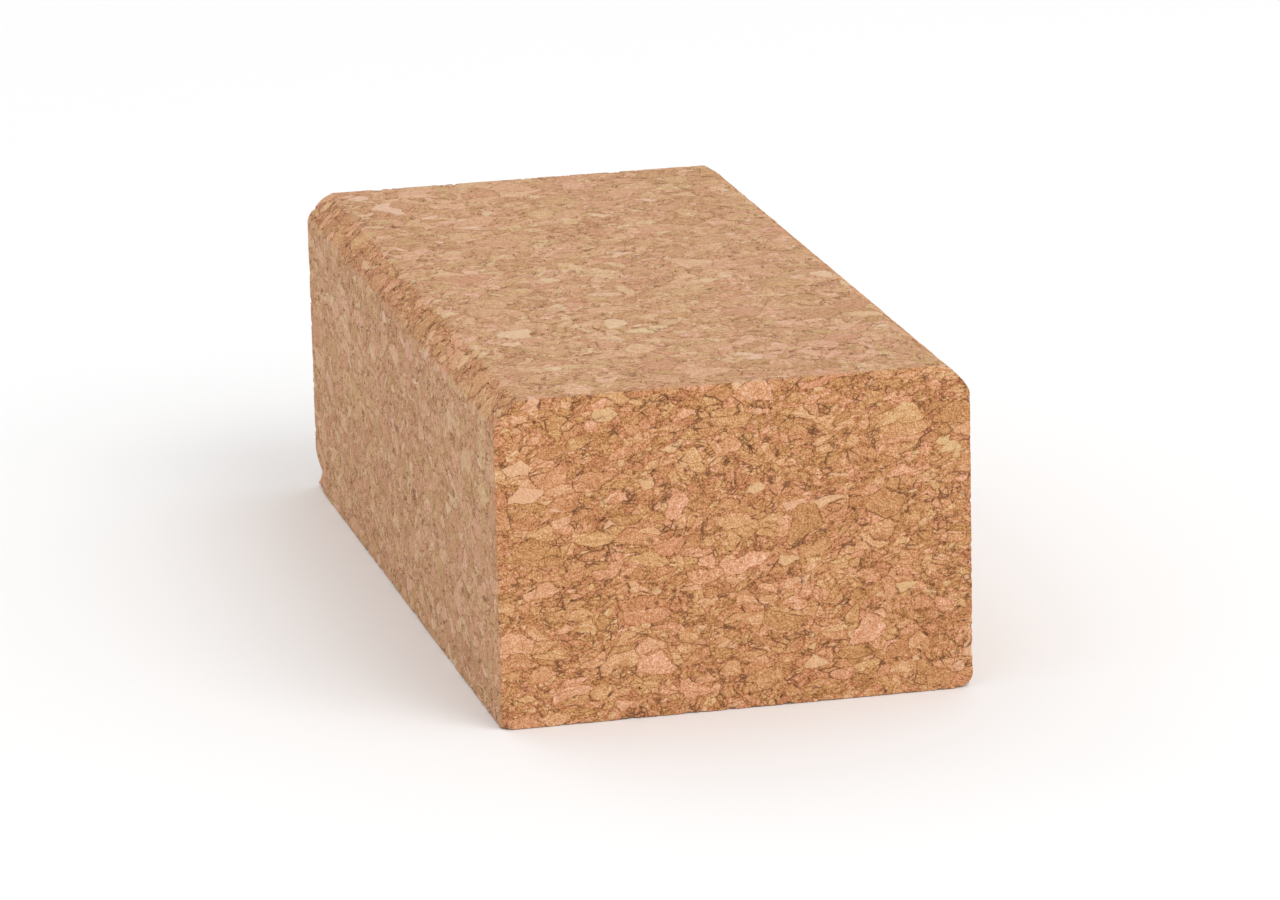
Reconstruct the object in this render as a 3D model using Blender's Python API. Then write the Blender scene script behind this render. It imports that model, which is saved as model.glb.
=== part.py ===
"""Cork sanding block: one pressed cork brick, with its two long top edges rounded for the palm.

The origin is the middle of the flat sanding face. +Z is up, away from the work, +Y runs along the block
and +X across it. Lengths are in metres.
"""

import math

import bmesh
import bpy

# Driving dimensions
LENGTH = 0.120
WIDTH = 0.060
HEIGHT = 0.0415
GRIP_WIDTH = 0.004
GRIP_FULLNESS = 0.40
ARRIS_WEAR = 0.0004

# How finely the rounded edges are faceted
GRIP_FACETS = 14
ARRIS_FACETS = 2
SHARP_ANGLE = math.radians(30.0)

# Pressed cork: a warm tan, matt all over
CORK_COLOUR = (0.546, 0.292, 0.150, 1.0)
CORK_ROUGHNESS = 0.9
CORK_METALLIC = 0.0


def clear_scene():
    for obj in list(bpy.data.objects):
        bpy.data.objects.remove(obj, do_unlink=True)


def cork_material():
    material = bpy.data.materials.new("pressed_cork")
    material.use_nodes = True
    shader = material.node_tree.nodes["Principled BSDF"]
    shader.inputs["Base Color"].default_value = CORK_COLOUR
    shader.inputs["Roughness"].default_value = CORK_ROUGHNESS
    shader.inputs["Metallic"].default_value = CORK_METALLIC
    material.diffuse_color = CORK_COLOUR
    return material


def brick_mesh(name):
    """A plain brick that stands on the origin, with its two long top edges marked for rounding."""
    brick = bmesh.new()
    bmesh.ops.create_cube(brick, size=1.0)
    bmesh.ops.scale(brick, verts=brick.verts, vec=(WIDTH, LENGTH, HEIGHT))
    bmesh.ops.translate(brick, verts=brick.verts, vec=(0.0, 0.0, HEIGHT / 2))

    rounding = brick.edges.layers.float.new("bevel_weight_edge")
    for edge in brick.edges:
        first, last = (vert.co for vert in edge.verts)
        on_top = min(first.z, last.z) > HEIGHT / 2
        runs_along = abs(first.y - last.y) > LENGTH / 2
        edge[rounding] = float(on_top and runs_along)

    mesh = bpy.data.meshes.new(name)
    brick.to_mesh(mesh)
    brick.free()
    return mesh


def round_grip_edges(obj):
    """Round the two marked edges. They are a little flatter than a quarter circle, so a faint crease
    shows where each one meets the faces beside it."""
    bevel = obj.modifiers.new("grip_edges", "BEVEL")
    bevel.limit_method = "WEIGHT"
    bevel.width = GRIP_WIDTH
    bevel.profile = GRIP_FULLNESS
    bevel.segments = GRIP_FACETS


def wear_arrises(obj):
    """Take the knife edge off every corner that is still square."""
    bevel = obj.modifiers.new("worn_arrises", "BEVEL")
    bevel.limit_method = "ANGLE"
    bevel.angle_limit = SHARP_ANGLE
    bevel.width = ARRIS_WEAR
    bevel.segments = ARRIS_FACETS


def build_cork_block():
    mesh = brick_mesh("cork_block")
    mesh.materials.append(cork_material())
    mesh.shade_smooth()
    mesh.set_sharp_from_angle(angle=SHARP_ANGLE)
    block = bpy.data.objects.new("cork_block", mesh)
    bpy.context.scene.collection.objects.link(block)
    round_grip_edges(block)
    wear_arrises(block)
    return block


def main():
    clear_scene()
    build_cork_block()


main()
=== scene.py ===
"""The looks of the cork sanding block: granules pressed into a brick, sawn, and worn at its corners.

Lengths are metres in the row frame, except in the cork pattern, which is written in millimetres.
"""

import math
from collections import namedtuple

import bpy
import numpy as np
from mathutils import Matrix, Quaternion, Vector


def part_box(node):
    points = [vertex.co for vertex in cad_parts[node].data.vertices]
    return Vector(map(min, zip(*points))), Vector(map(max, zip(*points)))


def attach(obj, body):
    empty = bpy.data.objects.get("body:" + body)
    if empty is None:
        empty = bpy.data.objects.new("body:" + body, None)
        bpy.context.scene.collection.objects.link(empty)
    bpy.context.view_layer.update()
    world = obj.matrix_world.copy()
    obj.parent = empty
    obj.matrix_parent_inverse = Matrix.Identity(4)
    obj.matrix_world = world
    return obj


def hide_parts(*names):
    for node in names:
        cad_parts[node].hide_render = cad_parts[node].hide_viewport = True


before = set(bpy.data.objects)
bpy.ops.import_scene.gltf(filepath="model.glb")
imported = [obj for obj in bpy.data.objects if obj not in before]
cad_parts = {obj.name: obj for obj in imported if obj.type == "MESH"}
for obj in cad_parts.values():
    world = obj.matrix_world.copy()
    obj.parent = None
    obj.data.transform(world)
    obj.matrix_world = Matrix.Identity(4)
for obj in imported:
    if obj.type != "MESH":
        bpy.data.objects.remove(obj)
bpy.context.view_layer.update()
MM = 0.001

# The block. The section of its rounded edges is a superellipse of this width and power
LOW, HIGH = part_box("cork_block")
SIZE = HIGH - LOW
GRIP_WIDTH = 3.8 * MM
GRIP_POWER = 1.45
CREASE_INSET = 3.2 * MM
LATTICE_STEP = 0.33 * MM
MOST_TRIANGLES = 190_000
SHARP_ANGLE = math.radians(38.0)

# The least that anything is divided by
TINY = 1e-9

# Granules are flat flakes, so their cells are wider than they are thick, and they lie on a slope
COARSE_GRANULE = (4.3, 4.3, 2.1)
MEDIUM_GRANULE = (2.4, 2.4, 1.25)
CRUMB = (1.05, 1.05, 0.6)
SPLIT_SHARE = 0.78
CRUMBLED_SHARE = 0.40
LAYER_SLOPE = math.radians(8.0)

# The noise that bends the cells out of true: the size of its features and how far each moves a point
SHAKES = ((8.0, 2.3), (2.4, 0.50), (0.6, 0.08))

# Seams, open crevices and pits, which all follow the walls of the cells. Crevices open in loose patches
SEAM_WIDTH = 0.11
LOOSE_PATCH = 1.4
LOOSE_RANGE = (0.50, 0.62)
TIGHT_GAP = 0.01
GAP_GROWTH = 0.07
PIT_SIZE = 0.6
PIT_RANGE = (0.64, 0.70)
PIT_REACH = (0.04, 0.2)

# Nearly all of a noise's values are between these two
MIDDLE = (0.3, 0.7)

# The mottle across granules, and the grain inside each one, which is drawn out along its own direction
MOTTLE_SIZE = 1.3
GRAIN_SIZE = 0.42
GRAIN_STRETCH = (1.0, 1.0, 0.2)

# Where the cut faces begin: about the creases beside a rounded edge, and from and to this far from an end
CREASE_BLUR = 0.15 * MM
SAWN_RANGE = (0.7 * MM, 0.3 * MM)

# Relief, in millimetres
SEAM_DEPTH = 0.03
CREVICE_DEPTH = 0.20
PIT_DEPTH = 0.28
GRANULE_STEP = 0.03
WAVE_DEPTH = 0.06
WAVE_SIZE = 18.0
RASP_DEPTH = 0.28
TOOTH_SIZE = 1.2
WEAR_DEPTH = 0.09
WEAR_PATCH = 3.0
WEAR_REACH = (0.3, 0.7)
CHIP_DEPTH = 0.14
CHIP_REACH = 0.9
CHIPPED_LOTS = (0.88, 0.94)

# Camera
CAMERA_PLACE = Vector((-0.1880, -0.8081, 0.2397))
CAMERA_YAW = math.radians(13.25)
CAMERA_PITCH = math.radians(-14.98)
CAMERA_ROLL = math.radians(-1.36)
CAMERA_LENS = 184.4
SENSOR_WIDTH = 36.0

Pattern = namedtuple("Pattern", "random grain mottle seam crevice pit")


class Graph:
    """Adds nodes to a shader tree or a geometry tree. Each input is a socket or a plain value."""

    def __init__(self, tree):
        self.tree = tree

    def set_input(self, socket, value):
        if isinstance(value, bpy.types.NodeSocket):
            self.tree.links.new(value, socket)
        else:
            socket.default_value = value

    def node(self, kind, inputs=None, **settings):
        made = self.tree.nodes.new(kind)
        for name, value in settings.items():
            setattr(made, name, value)
        for key, value in (inputs or {}).items():
            self.set_input(made.inputs[key], value)
        return made

    def math(self, operation, *values):
        return self.node("ShaderNodeMath", dict(enumerate(values)), operation=operation).outputs[0]

    def vector(self, operation, *values):
        return self.node("ShaderNodeVectorMath", dict(enumerate(values)), operation=operation).outputs[0]

    def scaled(self, vector, factor):
        made = self.node("ShaderNodeVectorMath", {"Vector": vector, "Scale": factor}, operation="SCALE")
        return made.outputs[0]

    def ramp(self, value, start, end, low=0.0, high=1.0):
        """A smooth step from low to high as value goes from start to end."""
        inputs = {"Value": value, "From Min": start, "From Max": end, "To Min": low, "To Max": high}
        return self.node("ShaderNodeMapRange", inputs, interpolation_type="SMOOTHSTEP").outputs[0]

    def noise(self, where, size, detail=2.0, colour=False):
        """Noise with features about size millimetres across: a number from 0 to 1, or three of them."""
        inputs = {"Vector": where, "Scale": 1.0 / size, "Detail": detail}
        made = self.node("ShaderNodeTexNoise", inputs)
        return made.outputs["Color" if colour else "Fac"]

    def cells(self, where, size):
        """Cells of the given sizes: three random numbers for each, and how far its nearest wall is."""
        inputs = {"Vector": self.vector("DIVIDE", where, size), "Scale": 1.0}
        body = self.node("ShaderNodeTexVoronoi", inputs, feature="F1")
        wall = self.node("ShaderNodeTexVoronoi", inputs, feature="DISTANCE_TO_EDGE")
        return body.outputs["Color"], self.math("MULTIPLY", wall.outputs["Distance"], min(size))

    def mix(self, share, first, second, kind="RGBA"):
        at = {"FLOAT": (2, 3, 0), "VECTOR": (4, 5, 1), "RGBA": (6, 7, 2)}[kind]
        made = self.node("ShaderNodeMix", {0: share, at[0]: first, at[1]: second}, data_type=kind)
        return made.outputs[at[2]]


def shaken(graph, where, size, reach):
    """where, moved by up to reach in each direction by noise of the given size."""
    shake = graph.vector("SUBTRACT", graph.noise(where, size, colour=True), (0.5, 0.5, 0.5))
    return graph.vector("ADD", where, graph.scaled(shake, 2.0 * reach))


def channels(graph, vector):
    return graph.node("ShaderNodeSeparateXYZ", {0: vector}).outputs


def cork_pattern(graph, place):
    """Where the granules, the seams between them, the open crevices and the pits are in the solid cork."""
    where = graph.scaled(place, 1.0 / MM)
    for size, reach in SHAKES:
        where = shaken(graph, where, size, reach)
    inputs = {"Vector": where, "Angle": LAYER_SLOPE}
    layered = graph.node("ShaderNodeVectorRotate", inputs, rotation_type="Y_AXIS").outputs[0]

    coarse, coarse_wall = graph.cells(layered, COARSE_GRANULE)
    medium, medium_wall = graph.cells(layered, MEDIUM_GRANULE)
    crumb, crumb_wall = graph.cells(layered, CRUMB)
    is_split = graph.math("LESS_THAN", channels(graph, coarse)[0], SPLIT_SHARE)
    is_crumbled = graph.math("LESS_THAN", channels(graph, medium)[0], CRUMBLED_SHARE)
    bits = graph.mix(is_crumbled, medium, crumb, "VECTOR")
    random = graph.mix(is_split, coarse, bits, "VECTOR")
    bit_wall = graph.math("MINIMUM", medium_wall, graph.mix(is_crumbled, medium_wall, crumb_wall, "FLOAT"))
    wall = graph.mix(is_split, coarse_wall, graph.math("MINIMUM", coarse_wall, bit_wall), "FLOAT")

    mottle = graph.noise(where, MOTTLE_SIZE, detail=3.0)
    looseness = graph.ramp(graph.noise(where, LOOSE_PATCH, detail=3.0), *LOOSE_RANGE)
    seam = graph.ramp(wall, 0.0, SEAM_WIDTH, 1.0, 0.0)
    gap = graph.math("MULTIPLY_ADD", looseness, GAP_GROWTH, TIGHT_GAP)
    crevice = graph.math("MULTIPLY", looseness, graph.ramp(wall, 0.0, gap, 1.0, 0.0))
    blob = graph.ramp(graph.noise(where, PIT_SIZE, detail=1.0), *PIT_RANGE)
    pit = graph.math("MULTIPLY", blob, graph.ramp(wall, *PIT_REACH, 1.0, 0.0))

    inputs = {"Vector": where, "Rotation": graph.scaled(random, 2.0 * math.pi)}
    turned = graph.node("ShaderNodeVectorRotate", inputs, rotation_type="EULER_XYZ").outputs[0]
    grain = graph.noise(graph.vector("MULTIPLY", turned, GRAIN_STRETCH), GRAIN_SIZE, detail=3.0)
    return Pattern(random, grain, mottle, seam, crevice, pit)


def rasped_share(graph, place):
    """1 on the two rounded edges, inside the creases beside them, and 0 elsewhere."""
    x, _, z = channels(graph, place)
    past_side_crease = graph.math("SUBTRACT", graph.math("ABSOLUTE", x), SIZE.x / 2 - CREASE_INSET)
    past_top_crease = graph.math("SUBTRACT", z, HIGH.z - CREASE_INSET)
    past_both = graph.math("MINIMUM", past_side_crease, past_top_crease)
    return graph.ramp(past_both, -CREASE_BLUR, CREASE_BLUR)


def sawn_share(graph, place):
    """1 on the two ends and 0 elsewhere."""
    along = graph.math("ABSOLUTE", channels(graph, place)[1])
    start, end = SAWN_RANGE
    return graph.ramp(along, HIGH.y - start, HIGH.y - end)


# ---------------------------------------------------------------- the shape


def lattice_shell(cells):
    """The surface points of a lattice of cells, as whole numbers, and its quads, facing outwards."""
    corners = []
    for axis in range(3):
        across, up = (axis + 1) % 3, (axis + 2) % 3
        columns, rows = np.meshgrid(np.arange(cells[across]), np.arange(cells[up]), indexing="ij")
        for end in (0, cells[axis]):
            steps = [(0, 0), (1, 0), (1, 1), (0, 1)] if end else [(0, 0), (0, 1), (1, 1), (1, 0)]
            quads = np.empty((columns.size, 4, 3), np.int64)
            for corner, (step_across, step_up) in enumerate(steps):
                quads[:, corner, axis] = end
                quads[:, corner, across] = columns.ravel() + step_across
                quads[:, corner, up] = rows.ravel() + step_up
            corners.append(quads)
    corners = np.concatenate(corners).reshape(-1, 3)
    span = np.array(cells) + 1
    keys = (corners[:, 0] * span[1] + corners[:, 1]) * span[2] + corners[:, 2]
    _, first, faces = np.unique(keys, return_index=True, return_inverse=True)
    return corners[first], faces.reshape(-1, 4)


def grip_corner(points):
    """Each point's place across and up the square corner that a top edge is rounded from, from 0 to 1 each
    way, and which points are inside that corner."""
    across = (np.abs(points[:, 0]) - (SIZE.x / 2 - GRIP_WIDTH)) / GRIP_WIDTH
    up = (points[:, 2] - (HIGH.z - GRIP_WIDTH)) / GRIP_WIDTH
    return across, up, (across > 0) & (up > 0)


def grip_reach(across, up):
    """1 on the rounded edge and less inside it, for a place in the square corner."""
    return (np.clip(across, 0, None) ** GRIP_POWER + np.clip(up, 0, None) ** GRIP_POWER) ** (1 / GRIP_POWER)


def round_grip(points):
    """Draws the square top corners of the section in to the rounded edges."""
    side = np.sign(points[:, 0])
    across, up, inside = grip_corner(points)
    shrink = np.maximum(across, up) / np.maximum(grip_reach(across, up), TINY)
    rounded = points.copy()
    rounded[inside, 0] = (side * (SIZE.x / 2 - GRIP_WIDTH + GRIP_WIDTH * across * shrink))[inside]
    rounded[inside, 2] = (HIGH.z - GRIP_WIDTH + GRIP_WIDTH * up * shrink)[inside]
    return rounded


def insets(points):
    """How far in from the nearer side, the nearer end, the top and the base each point is."""
    from_side = SIZE.x / 2 - np.abs(points[:, 0])
    from_end = SIZE.y / 2 - np.abs(points[:, 1])
    return from_side, from_end, HIGH.z - points[:, 2], points[:, 2] - LOW.z


def outward_directions(points, reach=1.0 * MM):
    """Away from the solid at each point, turning smoothly over the last reach before an arris."""
    side = np.sign(points)
    from_side, from_end, from_top, from_base = insets(points)
    across, up, in_round = grip_corner(points)
    slope = np.stack([np.clip(across, 0, None), np.clip(up, 0, None)], axis=1) ** (GRIP_POWER - 1)
    slope /= np.maximum(np.linalg.norm(slope, axis=1), TINY)[:, None]

    def pull(depth):
        return np.clip(1 - depth / reach, 0, 1)

    out = np.zeros_like(points)
    out[:, 0] = side[:, 0] * pull(from_side)
    out[:, 1] = side[:, 1] * pull(from_end)
    out[:, 2] = pull(from_top) - pull(from_base)
    strength = pull(GRIP_WIDTH * (1 - grip_reach(across, up)))[in_round]
    out[in_round, 0] = side[in_round, 0] * slope[in_round, 0] * strength
    out[in_round, 2] = slope[in_round, 1] * strength
    return out / np.maximum(np.linalg.norm(out, axis=1), TINY)[:, None]


def arris_distances(points):
    """How far each point of the square box is from the nearest edge that stays square."""
    from_side, from_end, from_top, from_base = insets(points)
    pairs = (
        (from_side, from_base),
        (from_end, from_base),
        (from_side, from_end),
        (from_end, from_top),
    )
    return np.min([np.hypot(first, second) for first, second in pairs], axis=0)


# Knocks: the corner or edge point that was hit, how far the dent reaches each way, and how deep it goes
Knock = namedtuple("Knock", "place reach depth")
KNOCKS = (
    Knock((LOW.x, HIGH.y, 2.0 * MM), (4.0 * MM, 6.0 * MM, 3.6 * MM), 0.9 * MM),
    Knock((HIGH.x, LOW.y, 0.0), (2.0 * MM, 2.0 * MM, 1.8 * MM), 0.9 * MM),
    Knock((LOW.x, LOW.y, 0.0), (1.6 * MM, 1.6 * MM, 1.6 * MM), 0.7 * MM),
)


def knocked(points, outward):
    """points, pushed in where the block has been dropped or struck."""
    for knock in KNOCKS:
        offset = (points - np.array(knock.place)) / np.array(knock.reach)
        closeness = np.clip(1 - np.linalg.norm(offset, axis=1), 0, 1)
        dent = knock.depth * np.sqrt(closeness) * closeness
        points = points - outward * dent[:, None]
    return points


def block_mesh():
    cells = [round(side / LATTICE_STEP) for side in SIZE]
    steps, faces = lattice_shell(cells)
    square = np.array(LOW) + steps * (np.array(SIZE) / np.array(cells))
    rounded = round_grip(square)
    outward = outward_directions(rounded)
    mesh = bpy.data.meshes.new("cork")
    mesh.from_pydata(knocked(rounded, outward), [], faces)
    mesh.attributes.new("outward", "FLOAT_VECTOR", "POINT").data.foreach_set("vector", outward.ravel())
    arris = arris_distances(square) / MM
    mesh.attributes.new("arris", "FLOAT", "POINT").data.foreach_set("value", arris.ravel())
    return mesh


def relief_tree():
    """Geometry nodes that cut the cork's seams, crevices, pits, chips and worn arrises into the surface."""
    tree = bpy.data.node_groups.new("cork_relief", "GeometryNodeTree")
    for way in ("INPUT", "OUTPUT"):
        tree.interface.new_socket("Geometry", in_out=way, socket_type="NodeSocketGeometry")
    graph = Graph(tree)
    place = graph.node("GeometryNodeInputPosition").outputs[0]
    outward = graph.node("GeometryNodeInputNamedAttribute", {"Name": "outward"}, data_type="FLOAT_VECTOR")
    arris = graph.node("GeometryNodeInputNamedAttribute", {"Name": "arris"}, data_type="FLOAT").outputs[0]
    pattern = cork_pattern(graph, place)
    where = graph.scaled(place, 1.0 / MM)
    lot = channels(graph, pattern.random)

    depth = graph.math("MULTIPLY", pattern.seam, SEAM_DEPTH)
    depth = graph.math("MULTIPLY_ADD", pattern.crevice, CREVICE_DEPTH, depth)
    depth = graph.math("MULTIPLY_ADD", pattern.pit, PIT_DEPTH, depth)
    depth = graph.math("MULTIPLY_ADD", lot[2], GRANULE_STEP, depth)
    depth = graph.math("MULTIPLY_ADD", graph.noise(where, WAVE_SIZE), WAVE_DEPTH, depth)
    teeth = graph.math("SUBTRACT", graph.noise(where, TOOTH_SIZE, detail=3.0), 0.5)
    teeth = graph.math("MULTIPLY", teeth, rasped_share(graph, place))
    depth = graph.math("MULTIPLY_ADD", teeth, RASP_DEPTH, depth)

    wear_reach = graph.ramp(graph.noise(where, WEAR_PATCH), *MIDDLE, *WEAR_REACH)
    depth = graph.math("ADD", depth, graph.ramp(arris, 0.0, wear_reach, WEAR_DEPTH, 0.0))
    chipped = graph.ramp(lot[1], *CHIPPED_LOTS)
    chip = graph.math("MULTIPLY", chipped, graph.ramp(arris, 0.0, CHIP_REACH, CHIP_DEPTH, 0.0))
    depth = graph.math("ADD", depth, chip)

    offset = graph.scaled(outward.outputs[0], graph.math("MULTIPLY", depth, -MM))
    source = graph.node("NodeGroupInput").outputs[0]
    moved = graph.node("GeometryNodeSetPosition", {"Geometry": source, "Offset": offset})
    graph.node("NodeGroupOutput", {0: moved.outputs[0]})
    return tree


def applied_mesh(obj):
    """obj's mesh with its modifiers applied."""
    depsgraph = bpy.context.evaluated_depsgraph_get()
    return bpy.data.meshes.new_from_object(obj.evaluated_get(depsgraph), depsgraph=depsgraph)


def cork_block():
    block = bpy.data.objects.new("cork_block_visual", block_mesh())
    bpy.context.scene.collection.objects.link(block)
    relief = block.modifiers.new("relief", "NODES")
    relief.node_group = relief_tree()
    block.data = applied_mesh(block)
    block.modifiers.clear()

    quad_count = len(block.data.polygons)
    thin = block.modifiers.new("thin", "DECIMATE")
    thin.ratio = MOST_TRIANGLES / (2 * quad_count)
    final = applied_mesh(block)
    block.modifiers.clear()
    block.data = final
    for name in ("outward", "arris"):
        final.attributes.remove(final.attributes[name])
    final.shade_smooth()
    final.set_sharp_from_angle(angle=SHARP_ANGLE)
    final.materials.clear()
    final.materials.append(cork_material())
    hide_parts("cork_block")
    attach(block, "root")


# ---------------------------------------------------------------- the material

# The colour of cork from its darkest to its palest
TONES = (
    (0.00, (0.150, 0.052, 0.016)),
    (0.18, (0.310, 0.122, 0.042)),
    (0.36, (0.445, 0.194, 0.076)),
    (0.52, (0.555, 0.268, 0.122)),
    (0.68, (0.655, 0.352, 0.186)),
    (0.84, (0.750, 0.450, 0.278)),
    (1.00, (0.860, 0.600, 0.420)),
)
MEAN_TONE = 0.61
SPECKLE_SIZE = 0.20

# How far each of these moves the tone. A pair is for a pressed face and for a cut one, which shows more
LOT_TONE = (0.25, 0.27)
SPECKLE_TONE = (0.95, 1.35)
SEAM_TONE = (-0.12, -0.23)
MOTTLE_TONE = 0.26
GRAIN_TONE = 0.72

# Tints: pressed faces are paler and greyer than cut ones, partly their own duller cork and partly a painted
# sheen, the haze that grazing light gives the top and sides; granules range from straw to pink
PRESSED_TINT_AND_SHEEN = (0.98, 1.06, 1.10, 1.0)
CUT_TINT = (0.995, 0.955, 0.862, 1.0)
STRAW_TINT = (0.966, 1.025, 0.905, 1.0)
PINK_TINT = (1.046, 0.970, 1.09, 1.0)
WARMTH_SIZE = 0.6
WARMTH_REACH = 1.2

# The few palest granules, and the painted shade in crevices and pits on a pressed face and on a cut one
PALE_COLOUR = (0.720, 0.475, 0.285, 1.0)
PALE_LOTS = (0.93, 0.98)
PALE_SHARE = 0.55
CREVICE_SHADE_COLOUR = (0.110, 0.040, 0.016, 1.0)
CREVICE_SHADE_SHARE = (0.55, 0.74)

# The surface: the finest relief, which is too small for the mesh, and the finish
BUMP_SIZE = 0.8
BUMP_SWELL = 1.6
BUMP_HEIGHT = 0.16 * MM
BUMP_STRENGTH = 0.8
ROUGHNESS = (0.74, 0.88)
SPECULAR = 0.30
SHEEN = 0.04
SHEEN_ROUGHNESS = 0.6


def blended_tones(graph, tone):
    tones = graph.node("ShaderNodeValToRGB", {0: tone})
    stops = tones.color_ramp.elements
    while len(stops) < len(TONES):
        stops.new(0.5)
    for stop, (share, colour) in zip(stops, TONES):
        stop.position = share
        stop.color = (*colour, 1.0)
    return tones.outputs[0]


def cork_material():
    material = bpy.data.materials.new("pressed_cork")
    material.use_nodes = True
    tree = material.node_tree
    shader = tree.nodes["Principled BSDF"]
    graph = Graph(tree)
    place = graph.node("ShaderNodeTexCoord").outputs["Object"]
    where = graph.scaled(place, 1.0 / MM)
    pattern = cork_pattern(graph, place)
    lot = channels(graph, pattern.random)
    speckle = graph.noise(where, SPECKLE_SIZE)
    cut = graph.math("MAXIMUM", sawn_share(graph, place), rasped_share(graph, place))

    def around(value, reach, middle):
        """middle, moved by a value from 0 to 1 that averages a half."""
        return graph.math("MULTIPLY_ADD", graph.math("SUBTRACT", value, 0.5), reach, middle)

    def by_cut(pair):
        """The first of the pair on a pressed face and the second on a cut one."""
        pressed_value, cut_value = pair
        return graph.math("MULTIPLY_ADD", cut, cut_value - pressed_value, pressed_value)

    tone = around(lot[1], by_cut(LOT_TONE), MEAN_TONE)
    tone = around(speckle, by_cut(SPECKLE_TONE), tone)
    tone = around(pattern.mottle, MOTTLE_TONE, tone)
    tone = around(pattern.grain, GRAIN_TONE, tone)
    tone = graph.math("MULTIPLY_ADD", pattern.seam, by_cut(SEAM_TONE), tone)

    colour = blended_tones(graph, tone)
    colour = graph.mix(graph.ramp(lot[1], *PALE_LOTS, 0.0, PALE_SHARE), colour, PALE_COLOUR)
    warmth = around(graph.noise(where, WARMTH_SIZE), WARMTH_REACH, lot[2])
    hue = graph.mix(warmth, STRAW_TINT, PINK_TINT)
    # Painted sheen: the pressed-face tint pales and greys the top, sides and base as grazing light would,
    # together with their own duller colour
    tint_and_sheen = graph.vector("MULTIPLY", hue, graph.mix(cut, PRESSED_TINT_AND_SHEEN, CUT_TINT))
    colour = graph.vector("MULTIPLY", colour, tint_and_sheen)
    # Painted shade: crevices and pits are drawn toward a near-black brown, standing in for the shade inside
    # these hollows, more on cut faces
    hollow_shade = graph.math("MAXIMUM", pattern.crevice, pattern.pit)
    colour = graph.mix(graph.math("MULTIPLY", hollow_shade, by_cut(CREVICE_SHADE_SHARE)), colour, CREVICE_SHADE_COLOUR)
    graph.set_input(shader.inputs["Base Color"], colour)

    height = around(graph.noise(where, BUMP_SIZE, detail=3.0), BUMP_SWELL, speckle)
    inputs = {"Height": height, "Distance": BUMP_HEIGHT, "Strength": BUMP_STRENGTH}
    graph.set_input(shader.inputs["Normal"], graph.node("ShaderNodeBump", inputs).outputs[0])
    graph.set_input(shader.inputs["Roughness"], graph.ramp(pattern.mottle, *MIDDLE, *ROUGHNESS))
    shader.inputs["Specular IOR Level"].default_value = SPECULAR
    shader.inputs["Sheen Weight"].default_value = SHEEN
    shader.inputs["Sheen Roughness"].default_value = SHEEN_ROUGHNESS
    return material


# ---------------------------------------------------------------- the studio

FLOOR_REACH = 6.0
FLOOR_COLOUR = (0.93, 0.93, 0.93)
FLOOR_ROUGHNESS = 0.8
SKY_STRENGTH = 0.85


def plain_material(name, colour, roughness):
    material = bpy.data.materials.new(name)
    material.use_nodes = True
    shader = material.node_tree.nodes["Principled BSDF"]
    shader.inputs["Base Color"].default_value = (*colour, 1.0)
    shader.inputs["Roughness"].default_value = roughness
    return material


def floor():
    mesh = bpy.data.meshes.new("floor")
    signs = ((-1, -1), (1, -1), (1, 1), (-1, 1))
    corners = [(x * FLOOR_REACH, y * FLOOR_REACH, 0) for x, y in signs]
    mesh.from_pydata(corners, [], [(0, 1, 2, 3)])
    mesh.materials.append(plain_material("pale_floor", FLOOR_COLOUR, FLOOR_ROUGHNESS))
    obj = bpy.data.objects.new("floor", mesh)
    bpy.context.scene.collection.objects.link(obj)
    obj.location.z = LOW.z


def soft_light(name, place, width, watts):
    data = bpy.data.lights.new(name, "AREA")
    data.shape = "DISK"
    data.size = width
    data.energy = watts
    obj = bpy.data.objects.new(name, data)
    bpy.context.scene.collection.objects.link(obj)
    obj.location = place
    aim = (LOW + HIGH) / 2
    obj.rotation_euler = (aim - obj.location).to_track_quat("-Z", "Y").to_euler()


def lights():
    world = bpy.data.worlds.new("studio")
    world.use_nodes = True
    sky = world.node_tree.nodes["Background"]
    sky.inputs["Color"].default_value = (1.0, 1.0, 1.0, 1.0)
    sky.inputs["Strength"].default_value = SKY_STRENGTH
    bpy.context.scene.world = world
    soft_light("key", Vector((0.7, -1.2, 1.3)), width=1.4, watts=13.0)
    soft_light("back", Vector((-0.6, 1.4, 1.2)), width=1.2, watts=3.0)


def camera():
    data = bpy.data.cameras.new("camera")
    data.lens = CAMERA_LENS
    data.sensor_width = SENSOR_WIDTH
    obj = bpy.data.objects.new("camera", data)
    bpy.context.scene.collection.objects.link(obj)
    level = math.cos(CAMERA_PITCH)
    forward = Vector((math.sin(CAMERA_YAW) * level, math.cos(CAMERA_YAW) * level, math.sin(CAMERA_PITCH)))
    obj.location = CAMERA_PLACE
    obj.rotation_mode = "QUATERNION"
    obj.rotation_quaternion = forward.to_track_quat("-Z", "Y") @ Quaternion((0, 0, 1), CAMERA_ROLL)
    bpy.context.scene.camera = obj


camera()
cork_block()
floor()
lights()
bpy.context.scene.view_settings.view_transform = "Standard"
